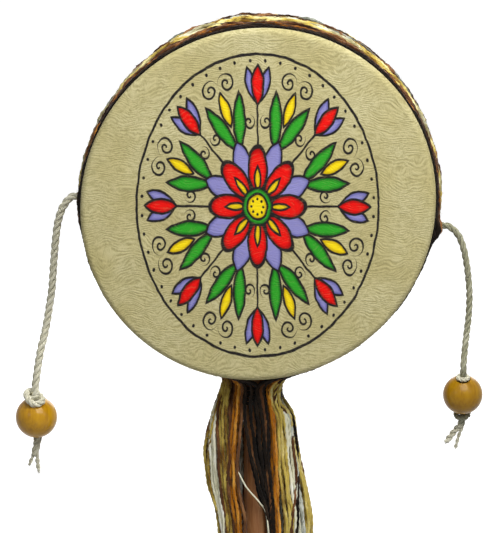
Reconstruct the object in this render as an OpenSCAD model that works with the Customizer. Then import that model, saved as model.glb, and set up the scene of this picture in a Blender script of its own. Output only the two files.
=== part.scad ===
// Pellet drum rattle: a two-headed hand drum on a stick, with two beads on cords that
// strike its heads, a yarn-covered rim and a yarn tassel under it.
// Front head towards -Y, handle down, origin at the middle of the grip.

/* [Drum] */
// Diameter across a head
head_d = 120; // [110:1:140]
// Depth from head to head
drum_depth = 40; // [38:1:48]
// Thickness of the skin
skin_t = 1.2; // [0.8:0.1:1.6]
// How far a head's skirt comes down over the shell
skirt = 10.2; // [9:0.1:10.4]
// Wall of the wooden shell
shell_wall = 5; // [4:0.5:8]
// Rounding of the shell's edges
edge_r = 0.8; // [0.4:0.1:1.2]
// Thickness of the dark binding cord behind each head's edge
binding_d = 1.5; // [1:0.1:1.8]
// Distance from a head's face to the middle of its binding
binding_back = 2.6; // [2.2:0.1:2.8]

/* [Rim yarn] */
// Thickness of one lock of yarn on the rim
lock_d = 2.4; // [2:0.1:2.5]
// Number of locks of yarn across the rim, the same on each side of its middle line
lock_count = 12; // [12:2:12]
// Height of the inner yarn layers above the shell
core_h = 2.2; // [1.6:0.1:3]
// Half width of the gap that the yarn leaves at the handle, in degrees
leave_deg = 14; // [12:1:18]

/* [Tassel] */
// Gap between neighbouring yarn ends
tail_gap = 0.24; // [0.2:0.02:0.6]
// Drop from the head's edge to the neck that the tie pinches
neck_drop = 5; // [4:0.5:8]
// Thickness of a lock where the tie pinches it
neck_lock_d = 1.7; // [1.4:0.1:1.7]
// Length of the longest yarn end below the neck
tassel_len = 80; // [70:1:84]
// Thickness of the tie
tie_d = 1.4; // [1.2:0.1:1.8]
// Turns of the tie
tie_turns = 3; // [2:1:4]
// Spread of the yarn ends at the left, at their widest
spread_left = 17.5; // [15:0.5:22]
// Spread of the yarn ends at the right, at the bottom
spread_right = 17; // [15:0.5:22]
// Spread of the yarn ends in front of and behind the handle
spread_front = 12; // [11.5:0.5:16]

/* [Handle] */
// Diameter of the stick
stick_d = 11; // [8:0.5:11.5]
// Length of the handle below the rim
handle_len = 154; // [150:1:200]
// Diameter of the grip
grip_d = 13; // [12:0.5:16]
// Length of the grip
grip_len = 56; // [40:1:60]
// Height of the rounded butt
butt_h = 4; // [3:0.5:6]
// Diameter of the nail's shank
nail_d = 2; // [1.5:0.1:2.5]
// Length of the nail
nail_len = 22; // [16:1:30]

/* [Cords and beads] */
// Thickness of a cord
cord_d = 2.4; // [2:0.1:2.6]
// Diameter of a bead
bead_d = 14; // [12:0.5:15]
// Bore of a bead
bore_d = 3.4; // [3.2:0.1:4]
// Lean of a bead's bore towards the front, in degrees
bead_lean = 20; // [0:1:24]
// Where the left cord leaves the rim, in degrees above level
left_exit = 0; // [-6:1:6]
// Where the right cord leaves the rim, in degrees above level
right_exit = -8.5; // [-12:0.5:0]
// Drop from the left cord's fold to its bead's middle
left_drop = 46.5; // [40:0.5:50]
// Drop from the right cord's fold to its bead's middle
right_drop = 29; // [28:1:40]

/* [Fits] */
// Clearance round a cord in its hole, and between moving pieces
clear = 0.3; // [0.3:0.05:0.4]
// Gap of the stick and the nail in the shell
fit_gap = 0.1; // [0.05:0.05:0.2]
// Gap under the yarn
seat_gap = 0.3; // [0.28:0.01:0.4]
// Gap of a bead from a head when it strikes
strike_gap = 0.5; // [0.4:0.1:1]

/* [Hidden] */
$fn = 96;

head_r = head_d / 2;
shell_r = head_r - skin_t;
shell_in = shell_r - shell_wall;
shell_half = drum_depth / 2 - skin_t;
core_r = shell_r + core_h;
grip_r = grip_d / 2;
stick_r = stick_d / 2;
cord_r = cord_d / 2;
bead_r = bead_d / 2;
lock_r = lock_d / 2;
bottom_z = -grip_len / 2 - butt_h;
// Height of the drum's axis above the middle of the grip
drum_z = bottom_z + handle_len + head_r;

// Yarn: the locks lie side by side between the bindings, numbered from front to back,
// and their colours in that order
half_locks = lock_count / 2;
lock_pitch = (drum_depth / 2 - binding_back - binding_d / 2 - seat_gap - lock_r)
    / (half_locks - 0.5);
colours = ["black", "orange", "brown", "gold", "cream", "gold",
    "brown", "grey", "brown", "black", "gold", "cream"];
skirt_edge = drum_depth / 2 - skirt;
// Inner yarn: where its band ends, and where its flat top does
core_edge = skirt_edge - 0.4;
core_flat = core_edge - core_h * 1.09;
inner_r = core_r + seat_gap + lock_r;
outer_r = head_r + seat_gap + lock_r;
// Distances of a side's locks from the rim's middle line, and beside a cord
function lock_y(j) = lock_pitch * (j + 0.5);
last_y = lock_y(half_locks - 1) + 0.08;
first_y = cord_r + clear + lock_r;
function lock_y_at_cord(j) = first_y + j * (last_y - first_y) / (half_locks - 1);
function lock_side(k) = k < half_locks ? -1 : 1;
function lock_rank(k) = k < half_locks ? half_locks - 1 - k : k - half_locks;
function lock_r_at(k) = lock_y(lock_rank(k)) < core_flat + lock_r ? inner_r : outer_r;
mouth_r = inner_r + lock_r + clear;

// Tassel: the neck, the tie and the levels that the yarn ends pass
neck_top = -head_r - neck_drop;
tie_pitch = tie_d + 0.5;
neck_h = tie_turns * tie_pitch + tie_d + 0.8;
neck_low = neck_top - neck_h;
neck_ring = max(stick_r + neck_lock_d / 2 + 0.4, (neck_lock_d + 0.12) / 2 / sin(90 / lock_count));
tie_ring = neck_ring + neck_lock_d / 2 + 0.15 + tie_d / 2;

// Cords: the crook hangs just outside the rim, and the fold lies one strike below it
fold_drop = drum_depth / 2 + bead_r + strike_gap;
function unit(v) = v / norm(v);
function polar(r, a) = [r * cos(a), r * sin(a)];
left_mouth = polar(mouth_r, left_exit);
right_mouth = polar(mouth_r, right_exit);
left_crook = left_mouth + [4.8, -5];
right_crook = right_mouth + [6, -4.4];
left_fold = left_crook + [3.6, -fold_drop];
right_fold = right_crook + [3.4, -fold_drop];
left_bead_at = left_fold + [6, -left_drop];
right_bead_at = right_fold + [-1.7, -right_drop];
// Half the gap that a bend leaves in a cord
bend_gap = cord_r + clear;
knot_r = 1.1;
knot_ring = cord_r + 0.05 + knot_r;
knot_off = sqrt(pow(bead_r + knot_r + clear, 2) - pow(knot_ring, 2)) + 0.05;
left_split = 13;
right_split = 11;
// Along a bead's bore: the way it leans, the knots' outer ends and the cord's bends there
function lean(d) = [0, -d * sin(bead_lean), d * cos(bead_lean)];
bend_top = knot_off + knot_r * 3.1;
bend_low = knot_off + knot_r * 1.2;
// How far behind the bead's middle the tails hang
tails_y = lean(-bend_low)[1] + 0.5;

// A point of the drum's own plane, out from its middle and up, on the left (-1) or right (1)
function at(side, p, y = 0) = [side * p[0], y, drum_z + p[1]];

// A tube through points: a ring at each, turned about a frame held to the Y axis
function ahead(p, i) = unit(p[min(i + 1, len(p) - 1)] - p[max(i - 1, 0)]);
function ring(c, t, r, sides) =
    let (u = unit([0, 1, 0] - t[1] * t), v = cross(t, u))
    [for (k = [0:sides - 1]) c + r * (cos(360 * k / sides) * u + sin(360 * k / sides) * v)];
function flat(a) = [for (b = a) for (c = b) c];
module tube(p, radii, sides, dome = 0) {
    n = len(p);
    last = ahead(p, n - 1);
    body = [for (i = [0:n - 1]) ring(p[i], ahead(p, i), radii[i], sides)];
    cap = [for (a = [30, 60, 84]) if (dome > 0)
        ring(p[n - 1] + dome * sin(a) * last, last, dome * cos(a), sides)];
    rings = concat(body, cap);
    m = len(rings);
    skin = [for (i = [0:m - 2]) for (k = [0:sides - 1])
        let (a = i * sides + k, b = i * sides + (k + 1) % sides)
        each [[a, b, b + sides], [a, b + sides, a + sides]]];
    start = [for (k = [1:sides - 2]) [0, k + 1, k]];
    end = [for (k = [1:sides - 2]) [0, k, k + 1] + (m - 1) * sides * [1, 1, 1]];
    polyhedron(flat(rings), concat(skin, start, end));
}
module cord(p, dome = false) {
    tube(p, [for (q = p) cord_r], 8, dome ? cord_r : 0);
}

// Angles round the rim from the right end of the yarn over the top to its left end,
// with one at each cord
yarn_degs = concat(
    [for (i = [0:7]) lerp(leave_deg - 90, right_exit, i / 8)],
    [for (i = [0:20]) lerp(right_exit, 180 - left_exit, i / 21)],
    [for (i = [0:8]) lerp(180 - left_exit, 270 - leave_deg, i / 8)]);
function lerp(a, b, t) = a + (b - a) * t;
function at_cord(i) = i == 8 || i == 29 ? 1 : 0;
function rim_point(k, i) =
    let (j = lock_rank(k), y = lerp(lock_y(j), lock_y_at_cord(j), at_cord(i)))
    at(1, polar(lock_r_at(k), yarn_degs[i]), lock_side(k) * y);

// The hanging end of lock k on one side: over the neck, out at the middle and down
// Each lock's own lack of length, as a share of the tassel's, and its stray as a share of its thickness
tip_trim = [0, 0.06, 0.025, 0.1, 0.04, 0.075, 0.0125, 0.09, 0.05, 0.025, 0.075, 0.04];
wander = [0.25, -0.2, 0.37, -0.08, 0.29, -0.33, 0.12, -0.25, 0.33, 0, -0.29, 0.17];
function pick(list, k) = list[k % len(list)];
function fan_deg(k) = (k - (lock_count - 1) / 2) * 180 / lock_count;
function round_handle(side, k, r, z) =
    [side * r * cos(fan_deg(k)), r * sin(fan_deg(k)), drum_z + z];
// Levels below the neck as shares of the tassel's length, and of each spread there
depths = [0.0875, 0.175, 0.275, 0.4, 0.55, 0.725];
left_share = [0.58, 0.84, 0.99, 0.97, 0.86, 0.76, 0.74];
right_share = [0.58, 0.69, 0.75, 0.8, 0.88, 0.98, 1];
front_share = [0.82, 0.9, 0.97, 1, 1, 1.02, 1.04];
stray = [0.2, 0.6, 1, 1, 1, 1, 1];
function hang_r(side, k, i) =
    let (out = side < 0 ? spread_left * left_share[i] : spread_right * right_share[i])
    lerp(spread_front * front_share[i], out, pow(cos(fan_deg(k)), 2)) 
        + stray[i] * lock_d * pick(wander, k);
function end_trim(side, k) = pick(tip_trim, k * 5 + (side < 0 ? 0 : 4));
function hang_z(side, k, i) =
    neck_low - tassel_len * (i < len(depths) ? depths[i] : 1 - end_trim(side, k));
function tail(side, k) =
    let (
        from = at(side, polar(lock_r_at(k), leave_deg - 90), lock_side(k) * lock_y(lock_rank(k))),
        neck = round_handle(side, k, neck_ring, neck_top)
    )
    concat(
        [[lerp(from[0], neck[0], 0.45), lerp(from[1], neck[1], 0.45), drum_z + neck_top + neck_drop * 0.44],
            neck,
            round_handle(side, k, neck_ring, neck_low)],
        [for (i = [0:len(depths)]) round_handle(side, k, hang_r(side, k, i), hang_z(side, k, i))]);
function tail_radii(side, k) = concat(
    [lock_r * 0.92, neck_lock_d / 2, neck_lock_d / 2],
    [for (i = [0:len(depths)])
        (hang_r(side, k, i) * sin(90 / lock_count) - tail_gap / 2) * (i < len(depths) ? 1 : 0.6)]);
function back(p) = [for (i = [len(p) - 1:-1:0]) p[i]];
module lock(k) {
    right = tail(1, k);
    left = tail(-1, k);
    rim = [for (i = [0:len(yarn_degs) - 1]) rim_point(k, i)];
    tube(concat(back(right), rim, left),
        concat(back(tail_radii(1, k)), [for (p = rim) lock_r], tail_radii(-1, k)), 6);
}
module locks_of(colour) {
    for (k = [0:lock_count - 1]) if (pick(colours, k) == colour) lock(k);
}

module ring_y(r, thick, y) {
    translate([0, y, drum_z]) rotate([90, 0, 0])
        rotate_extrude() translate([r, 0]) circle(d = thick, $fn = 32);
}
module knot(turns) {
    for (i = [0:turns - 1]) translate([0, 0, i * knot_r * 1.7])
        rotate_extrude() translate([knot_ring, 0]) circle(r = knot_r, $fn = 32);
}

// Half a section with its outer upper corner rounded
module rounded(r_in, r_out, low, high, e) {
    translate([r_in, low]) square([r_out - e - r_in, high - low]);
    translate([r_in, low]) square([r_out - r_in, high - e - low]);
    translate([r_out - e, high - e]) circle(r = e, $fn = 64);
}

// Wooden hoop with its edges rounded, bored for the handle, the nail and the cords
module shell() {
    color("burlywood") difference() {
        translate([0, 0, drum_z]) rotate([90, 0, 0]) rotate_extrude() {
            rounded(shell_in, shell_r, -1, shell_half, edge_r);
            mirror([0, 1]) rounded(shell_in, shell_r, -1, shell_half, edge_r);
        }
        translate([0, 0, drum_z - shell_r - 2]) cylinder(r = stick_r + fit_gap, h = shell_wall + 6);
        translate([0, 0, drum_z]) cylinder(r = nail_d / 2 + fit_gap, h = shell_r + 2);
        translate([0, 0, drum_z + shell_r - 1.4]) cylinder(r = nail_d * 1.2, h = 4);
        for (s = [-1, 1]) translate([0, 0, drum_z])
            rotate([0, s < 0 ? left_exit - 90 : 90 - right_exit, 0])
            cylinder(r = cord_r + clear, h = shell_r * 1.1);
    }
}

// Skin: a flat disc whose edge rolls over the shell into a skirt
module head(side) {
    low = drum_depth / 2 - skirt;
    translate([0, 0, drum_z]) rotate([side * -90, 0, 0]) rotate_extrude() difference() {
        rounded(0, head_r, low, drum_depth / 2, edge_r + skin_t);
        rounded(0, shell_r, low - 1, shell_half, edge_r);
    }
}
module front_head() {
    color("tan") head(-1);
}
module back_head() {
    color("tan") head(1);
}
module front_binding() {
    color("#2a1d12") ring_y(head_r + binding_d / 2, binding_d, binding_back - drum_depth / 2);
}
module back_binding() {
    color("#2a1d12") ring_y(head_r + binding_d / 2, binding_d, drum_depth / 2 - binding_back);
}

// Inner layers of yarn, open at the handle and at the cords
module yarn_core() {
    color("peru") difference() {
        translate([0, 0, drum_z]) rotate([90, 0, 0]) rotate([0, 0, leave_deg - 90])
            rotate_extrude(angle = 360 - 2 * leave_deg, $fn = 96)
            polygon([[shell_r, -core_edge], [shell_r + core_h * 0.45, -core_edge], [core_r, -core_flat],
                [core_r, core_flat], [shell_r + core_h * 0.45, core_edge], [shell_r, core_edge]]);
        for (s = [-1, 1]) translate([0, 0, drum_z])
            rotate([0, s < 0 ? left_exit - 90 : 90 - right_exit, 0])
            cylinder(r = cord_r + clear, h = core_r * 1.1);
    }
}
module black_yarn() {
    color("#1c1712") locks_of("black");
}
module brown_yarn() {
    color("#5a3a22") locks_of("brown");
}
module gold_yarn() {
    color("#b08a3c") locks_of("gold");
}
module cream_yarn() {
    color("#cfc4a0") locks_of("cream");
}
module orange_yarn() {
    color("#a8641c") locks_of("orange");
}
module grey_yarn() {
    color("#8d9080") locks_of("grey");
}

// Tie: turns of dark yarn round the neck, with straight ends
tie_steps = 24;
tie_z = drum_z + (neck_top + neck_low) / 2;
function tie_point(i) =
    let (a = i * 360 / tie_steps)
    [tie_ring * cos(a), tie_ring * sin(a), tie_z + (i / tie_steps - tie_turns / 2) * tie_pitch];
tie_n = tie_turns * tie_steps;
tie_path = concat(
    [tie_point(0) - [0, tie_d, tie_pitch * 0.05]],
    [for (i = [0:tie_n]) tie_point(i)],
    [tie_point(tie_n) + [0, tie_d, tie_pitch * 0.05]]);
tie_gap = min([for (i = [0:tie_n]) for (j = [i + 12:1:tie_n])
    norm(tie_point(i) - tie_point(j))]) - tie_d;
echo(str("least gap of the tie to itself, mm: ", tie_gap));
module wound(p, r, sides) {
    n = len(p);
    rings = [for (i = [0:n - 1]) let (t = ahead(p, i), u = [0, 0, 1], v = unit(cross(t, u)))
        for (k = [0:sides - 1]) p[i] + r * (cos(360 * k / sides) * v + sin(360 * k / sides) * cross(v, t))];
    skin = [for (i = [0:n - 2]) for (k = [0:sides - 1])
        let (a = i * sides + k, b = i * sides + (k + 1) % sides)
        each [[a, b + sides, b], [a, a + sides, b + sides]]];
    start = [for (k = [1:sides - 2]) [0, k, k + 1]];
    end = [for (k = [1:sides - 2]) [0, k + 1, k] + (n - 1) * sides * [1, 1, 1]];
    polyhedron(rings, concat(skin, start, end));
}
module tassel_tie() {
    color("#2a1d12") wound(tie_path, tie_d / 2, 6);
}

// Turned stick: a thin shaft up through the shell, a thicker grip and a rounded butt
module handle() {
    top = drum_z + shell_in - 0.6;
    color("#3a2415") difference() {
        union() {
            cylinder(r = stick_r, h = top);
            translate([0, 0, -grip_len / 2]) cylinder(r = grip_r, h = grip_len);
            translate([0, 0, grip_len / 2])
                cylinder(r1 = grip_r - 0.4, r2 = stick_r, h = 2.5);
            translate([0, 0, -grip_len / 2]) rotate([180, 0, 0])
                rotate_extrude() intersection() {
                    scale([1, butt_h / (grip_r - 0.4)]) circle(r = grip_r - 0.4);
                    square(grip_r + butt_h);
                }
        }
        translate([0, 0, drum_z + shell_r - 1.2 - nail_len - 1])
            cylinder(r = nail_d / 2 + fit_gap / 2, h = nail_len + 10);
    }
}
module handle_nail() {
    color("silver") translate([0, 0, drum_z + shell_r - 1.3]) {
        cylinder(r = nail_d, h = 0.8);
        translate([0, 0, 0.4 - nail_len]) cylinder(r = nail_d / 2, h = nail_len);
    }
}

// What hangs at each side
module anchor_knot(side, deg) {
    translate([0, 0, drum_z]) rotate([0, side < 0 ? deg - 90 : 90 - deg, 0])
        translate([0, 0, shell_in - knot_r * 2.7 - 0.35]) knot(2);
}
module exit_cord(side, deg, mouth, out, crook) {
    inside = polar(shell_in - 6, deg);
    end = crook + bend_gap * unit(out[len(out) - 1] - crook);
    cord([for (p = concat([inside, polar(shell_r, deg), mouth], out, [end])) at(side, p)]);
}
module crook_ball(side, crook) {
    translate(at(side, crook)) sphere(r = cord_r, $fn = 32);
}
module upper(side, crook, pass, fold) {
    start = crook + bend_gap * unit(pass[0] - crook);
    cord([for (p = concat([start], pass, [fold])) at(side, p)], true);
}
module lower(side, fold, pass, forward, bead, split) {
    start = fold + bend_gap * unit(pass[0] - fold);
    hub = at(side, bead);
    cord(concat([at(side, start)],
        [for (i = [0:len(pass) - 1]) at(side, pass[i], lean(bend_top)[1] * forward[i])],
        [for (d = [bend_top, bead_r, 0, -bead_r, -bend_low]) hub + lean(d)],
        [at(side, bead - [0, split], tails_y)]));
}
module bead(side, c) {
    translate(at(side, c)) rotate([bead_lean, 0, 0]) difference() {
        sphere(r = bead_r, $fn = 96);
        cylinder(d = bore_d, h = bead_d + 2, center = true);
        for (s = [0, 180]) rotate([s, 0, 0]) translate([0, 0, bead_r - 1])
            cylinder(d1 = bore_d, d2 = bore_d + 3, h = 1.5);
    }
}
module bead_knot(side, c, turns, way) {
    translate(at(side, c)) rotate([bead_lean + (way > 0 ? 0 : 180), 0, 0])
        translate([0, 0, knot_off]) knot(turns);
}
module tails(side, c, split, ends) {
    for (i = [0, 1]) let (s = i == 0 ? -1 : 1, top = c + [s * 0.62, -split - 0.3])
        tube([for (q = [[0, 0], [s * 0.15, -1.2], ends[i] * 0.55, ends[i]])
            at(side, top + q, tails_y)],
            [0.58, 0.6, 0.62, 0.5], 8);
}

left_out = [for (q = [[1.8, -0.7], [3.2, -2.3]]) left_mouth + q];
right_out = [for (q = [[2, -0.3], [4.2, -1.9]]) right_mouth + q];
left_pass = [for (q = [[1.4, -5], [2.3, -12], [3, -20]]) left_crook + q];
right_pass = [for (q = [[1.7, -5], [2.9, -12], [3.6, -20]]) right_crook + q];
left_fall = [for (q = [[0.9, -6], [2.2, -14], [4.2, -23]]) left_fold + q];
right_fall = [for (q = [[-0.5, -5], [-1.1, -10]]) right_fold + q];
// Shares of the bore's lean that the cords have there
left_forward = [0, 0.25, 0.7];
right_forward = [0.15, 0.5];

module left_anchor_knot() {
    color("wheat") anchor_knot(-1, left_exit);
}
module left_exit_cord() {
    color("wheat") exit_cord(-1, left_exit, left_mouth, left_out, left_crook);
}
module left_cord_crook() {
    color("wheat") crook_ball(-1, left_crook);
}
module left_cord_upper() {
    color("wheat") upper(-1, left_crook, left_pass, left_fold);
}
module left_cord_lower() {
    color("wheat") lower(-1, left_fold, left_fall, left_forward, left_bead_at, left_split);
}
module left_top_knot() {
    color("cornsilk") bead_knot(-1, left_bead_at, 2, 1);
}
module left_bead() {
    color("goldenrod") bead(-1, left_bead_at);
}
module left_end_knot() {
    color("wheat") bead_knot(-1, left_bead_at, 1, -1);
}
module left_tails() {
    color("cornsilk") tails(-1, left_bead_at, left_split, [[-1, -7], [1.4, -4.6]]);
}
module right_anchor_knot() {
    color("wheat") anchor_knot(1, right_exit);
}
module right_exit_cord() {
    color("wheat") exit_cord(1, right_exit, right_mouth, right_out, right_crook);
}
module right_cord_crook() {
    color("wheat") crook_ball(1, right_crook);
}
module right_cord_upper() {
    color("wheat") upper(1, right_crook, right_pass, right_fold);
}
module right_cord_lower() {
    color("wheat") lower(1, right_fold, right_fall, right_forward, right_bead_at, right_split);
}
module right_top_knot() {
    color("cornsilk") bead_knot(1, right_bead_at, 1, 1);
}
module right_bead() {
    color("goldenrod") bead(1, right_bead_at);
}
module right_end_knot() {
    color("wheat") bead_knot(1, right_bead_at, 1, -1);
}
module right_tails() {
    color("cornsilk") tails(1, right_bead_at, right_split, [[-4.2, -5.4], [-2.6, -7]]);
}

shell();
front_head();
back_head();
front_binding();
back_binding();
yarn_core();
black_yarn();
brown_yarn();
gold_yarn();
cream_yarn();
orange_yarn();
grey_yarn();
tassel_tie();
handle();
handle_nail();
left_anchor_knot();
left_exit_cord();
left_cord_crook();
left_cord_upper();
left_cord_lower();
left_top_knot();
left_bead();
left_end_knot();
left_tails();
right_anchor_knot();
right_exit_cord();
right_cord_crook();
right_cord_upper();
right_cord_lower();
right_top_knot();
right_bead();
right_end_knot();
right_tails();
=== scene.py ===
"""Looks of a pellet drum rattle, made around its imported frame. Metres, front head towards -Y."""
import math

import bpy
import numpy as np
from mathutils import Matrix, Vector


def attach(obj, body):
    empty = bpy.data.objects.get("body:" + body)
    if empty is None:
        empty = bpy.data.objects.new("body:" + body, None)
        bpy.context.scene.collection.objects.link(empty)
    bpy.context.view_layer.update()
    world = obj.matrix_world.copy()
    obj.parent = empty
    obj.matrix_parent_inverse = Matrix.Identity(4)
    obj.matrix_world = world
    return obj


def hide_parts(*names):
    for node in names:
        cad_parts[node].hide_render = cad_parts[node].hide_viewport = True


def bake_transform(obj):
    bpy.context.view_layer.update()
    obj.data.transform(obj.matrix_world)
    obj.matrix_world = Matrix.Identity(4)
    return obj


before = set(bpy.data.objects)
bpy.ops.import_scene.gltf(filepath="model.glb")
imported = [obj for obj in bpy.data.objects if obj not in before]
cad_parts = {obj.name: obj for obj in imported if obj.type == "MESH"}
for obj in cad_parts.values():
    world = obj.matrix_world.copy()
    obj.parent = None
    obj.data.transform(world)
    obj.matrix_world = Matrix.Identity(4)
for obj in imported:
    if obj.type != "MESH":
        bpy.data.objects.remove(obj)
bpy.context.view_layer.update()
rng = np.random.default_rng(7)
MM = 0.001

# Sizes of the part's source, in millimetres
DRUM_Z = 182.0
HEAD_R = 60.0
FACE_Y = 20.0
SKIN = 1.2
EDGE_ROLL = 2.0
SKIRT_Y = 9.8
SHELL_R = 58.8
SHELL_IN = 53.8
BINDING_Y = 16.4
BINDING_D = 1.1
LOCK_PITCH = 2.7545
WAIST_R = 59.5
LEAVE_DEG = 14.0
LEFT_EXIT, RIGHT_EXIT = 180.0, -8.5
BEAD_R = 7.0
BORE_R = 1.7
BEAD_LEAN = math.radians(20)
KNOT_OFF = 8.115
TIE_Z = 113.05
TIE_RING = 8.67
STICK_R = 5.5
GRIP_R = 6.5
COLOURS = ["black", "orange", "brown", "gold", "cream", "gold",
           "brown", "grey", "brown", "black", "gold", "cream"]


# Camera: the photograph's view, a little above and to the right of the head's middle

def stand(name, data, place, way):
    """Puts a camera or a lamp at its place, looking that way."""
    thing = bpy.data.objects.new(name, data)
    thing.location = place
    thing.rotation_mode = "QUATERNION"
    thing.rotation_quaternion = way.to_track_quat("-Z", "Y")
    bpy.context.scene.collection.objects.link(thing)
    return thing


def place_camera():
    """A long lens that sees the head at its place in a 500 by 533 frame."""
    wide, high = 500, 533
    scale, away = 2.945, 1050.0
    head_px = (257.5, 206.7)
    turn, rise = math.radians(2.0), math.radians(9.5)
    back = Vector((math.sin(turn) * math.cos(rise), -math.cos(turn) * math.cos(rise), math.sin(rise)))
    side = Vector((math.cos(turn), math.sin(turn), 0))
    up = side.cross(-back)
    head = Vector((0, -FACE_Y, DRUM_Z))
    aim = head - side * ((head_px[0] - wide / 2) / scale) + up * ((head_px[1] - high / 2) / scale)
    eye = head + back * away
    data = bpy.data.cameras.new("camera")
    data.sensor_width = 36
    data.lens = 36 * scale * away / high
    data.clip_start, data.clip_end = 0.01, 50
    bpy.context.scene.camera = stand("camera", data, eye * MM, aim - eye)


place_camera()


# Modelling: pieces turned from a profile

def clear_selection():
    if bpy.context.object and bpy.context.object.mode != "OBJECT":
        bpy.ops.object.mode_set(mode="OBJECT")
    bpy.ops.object.select_all(action="DESELECT")


def turned(name, profile, base, axis, out, steps):
    """Extrudes a line through (radius, height) points and spins it about the axis through base."""
    base, axis, out = Vector(base) * MM, Vector(axis), Vector(out)
    points = [base + (out * r + axis * h) * MM for r, h in profile]
    clear_selection()
    bpy.ops.mesh.primitive_circle_add(vertices=3, radius=MM, location=points[0])
    piece = bpy.context.object
    piece.name = piece.data.name = name
    bpy.ops.object.mode_set(mode="EDIT")
    bpy.ops.mesh.select_all(action="SELECT")
    bpy.ops.mesh.merge(type="CENTER")
    for a, b in zip(points, points[1:]):
        bpy.ops.mesh.extrude_vertices_move(TRANSFORM_OT_translate={"value": b - a})
    bpy.ops.mesh.select_all(action="SELECT")
    bpy.ops.mesh.spin(steps=steps, angle=2 * math.pi, center=base, axis=axis)
    bpy.ops.mesh.select_all(action="SELECT")
    bpy.ops.mesh.remove_doubles(threshold=1e-6)
    bpy.ops.mesh.normals_make_consistent(inside=False)
    bpy.ops.object.mode_set(mode="OBJECT")
    bpy.ops.object.transform_apply(location=True, rotation=True, scale=True)
    bpy.ops.object.shade_smooth()
    return piece


def arc(centre, radius, start, end, count):
    """Points of an arc as (radius, height), angles in degrees."""
    return [(centre[0] + radius * math.cos(math.radians(a)), centre[1] + radius * math.sin(math.radians(a)))
            for a in np.linspace(start, end, count)]


# Modelling of yarn and cord: twisted tubes along lines

def through(points, step):
    """A smooth line through points, with a point each step or so."""
    p = np.asarray(points, float)
    p = np.vstack([2 * p[0] - p[1], p, 2 * p[-1] - p[-2]])
    line = []
    for a, b, c, d in zip(p, p[1:], p[2:], p[3:]):
        n = max(2, int(np.linalg.norm(c - b) / step * 2))
        t = np.linspace(0, 1, n, endpoint=False)[:, None]
        line.append(0.5 * (2 * b + (c - a) * t + (2 * a - 5 * b + 4 * c - d) * t ** 2
                           + (3 * b - a - 3 * c + d) * t ** 3))
    line = np.vstack([*line, p[-2:-1]])
    return evenly(line, step)


def evenly(line, step):
    """The same line with evenly spaced points."""
    s = lengths(line)
    at = np.linspace(0, s[-1], max(3, int(round(s[-1] / step)) + 1))
    return np.column_stack([np.interp(at, s, line[:, i]) for i in range(3)])


def lengths(line):
    return np.concatenate([[0], np.cumsum(np.linalg.norm(np.diff(line, axis=0), axis=1))])


def unit(rows):
    """The same directions, each of length one."""
    return rows / np.linalg.norm(rows, axis=1)[:, None]


def nearest(line, place):
    return int(np.argmin(np.linalg.norm(line - place, axis=1)))


def held_frame(line, closed=False):
    """Tangents and two side directions, carried along the line without a twist of their own."""
    t = np.gradient(line, axis=0)
    if closed:
        t = np.roll(line, -1, axis=0) - np.roll(line, 1, axis=0)
    t = unit(t)
    first = np.array([0.0, 1.0, 0.0]) if abs(t[0][1]) < 0.9 else np.array([0.0, 0.0, 1.0])
    u = np.zeros_like(line)
    u[0] = first - t[0] * (first @ t[0])
    u[0] /= np.linalg.norm(u[0])
    for i in range(1, len(line)):
        v = u[i - 1] - t[i] * (u[i - 1] @ t[i])
        u[i] = v / np.linalg.norm(v)
    if closed:
        end = u[-1] - t[0] * (u[-1] @ t[0])
        end /= np.linalg.norm(end)
        slip = math.atan2(np.cross(end, u[0]) @ t[0], end @ u[0])
        turn = np.linspace(0, slip, len(line))[:, None]
        u = u * np.cos(turn) + np.cross(t, u) * np.sin(turn)
    return t, u, np.cross(t, u)


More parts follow.
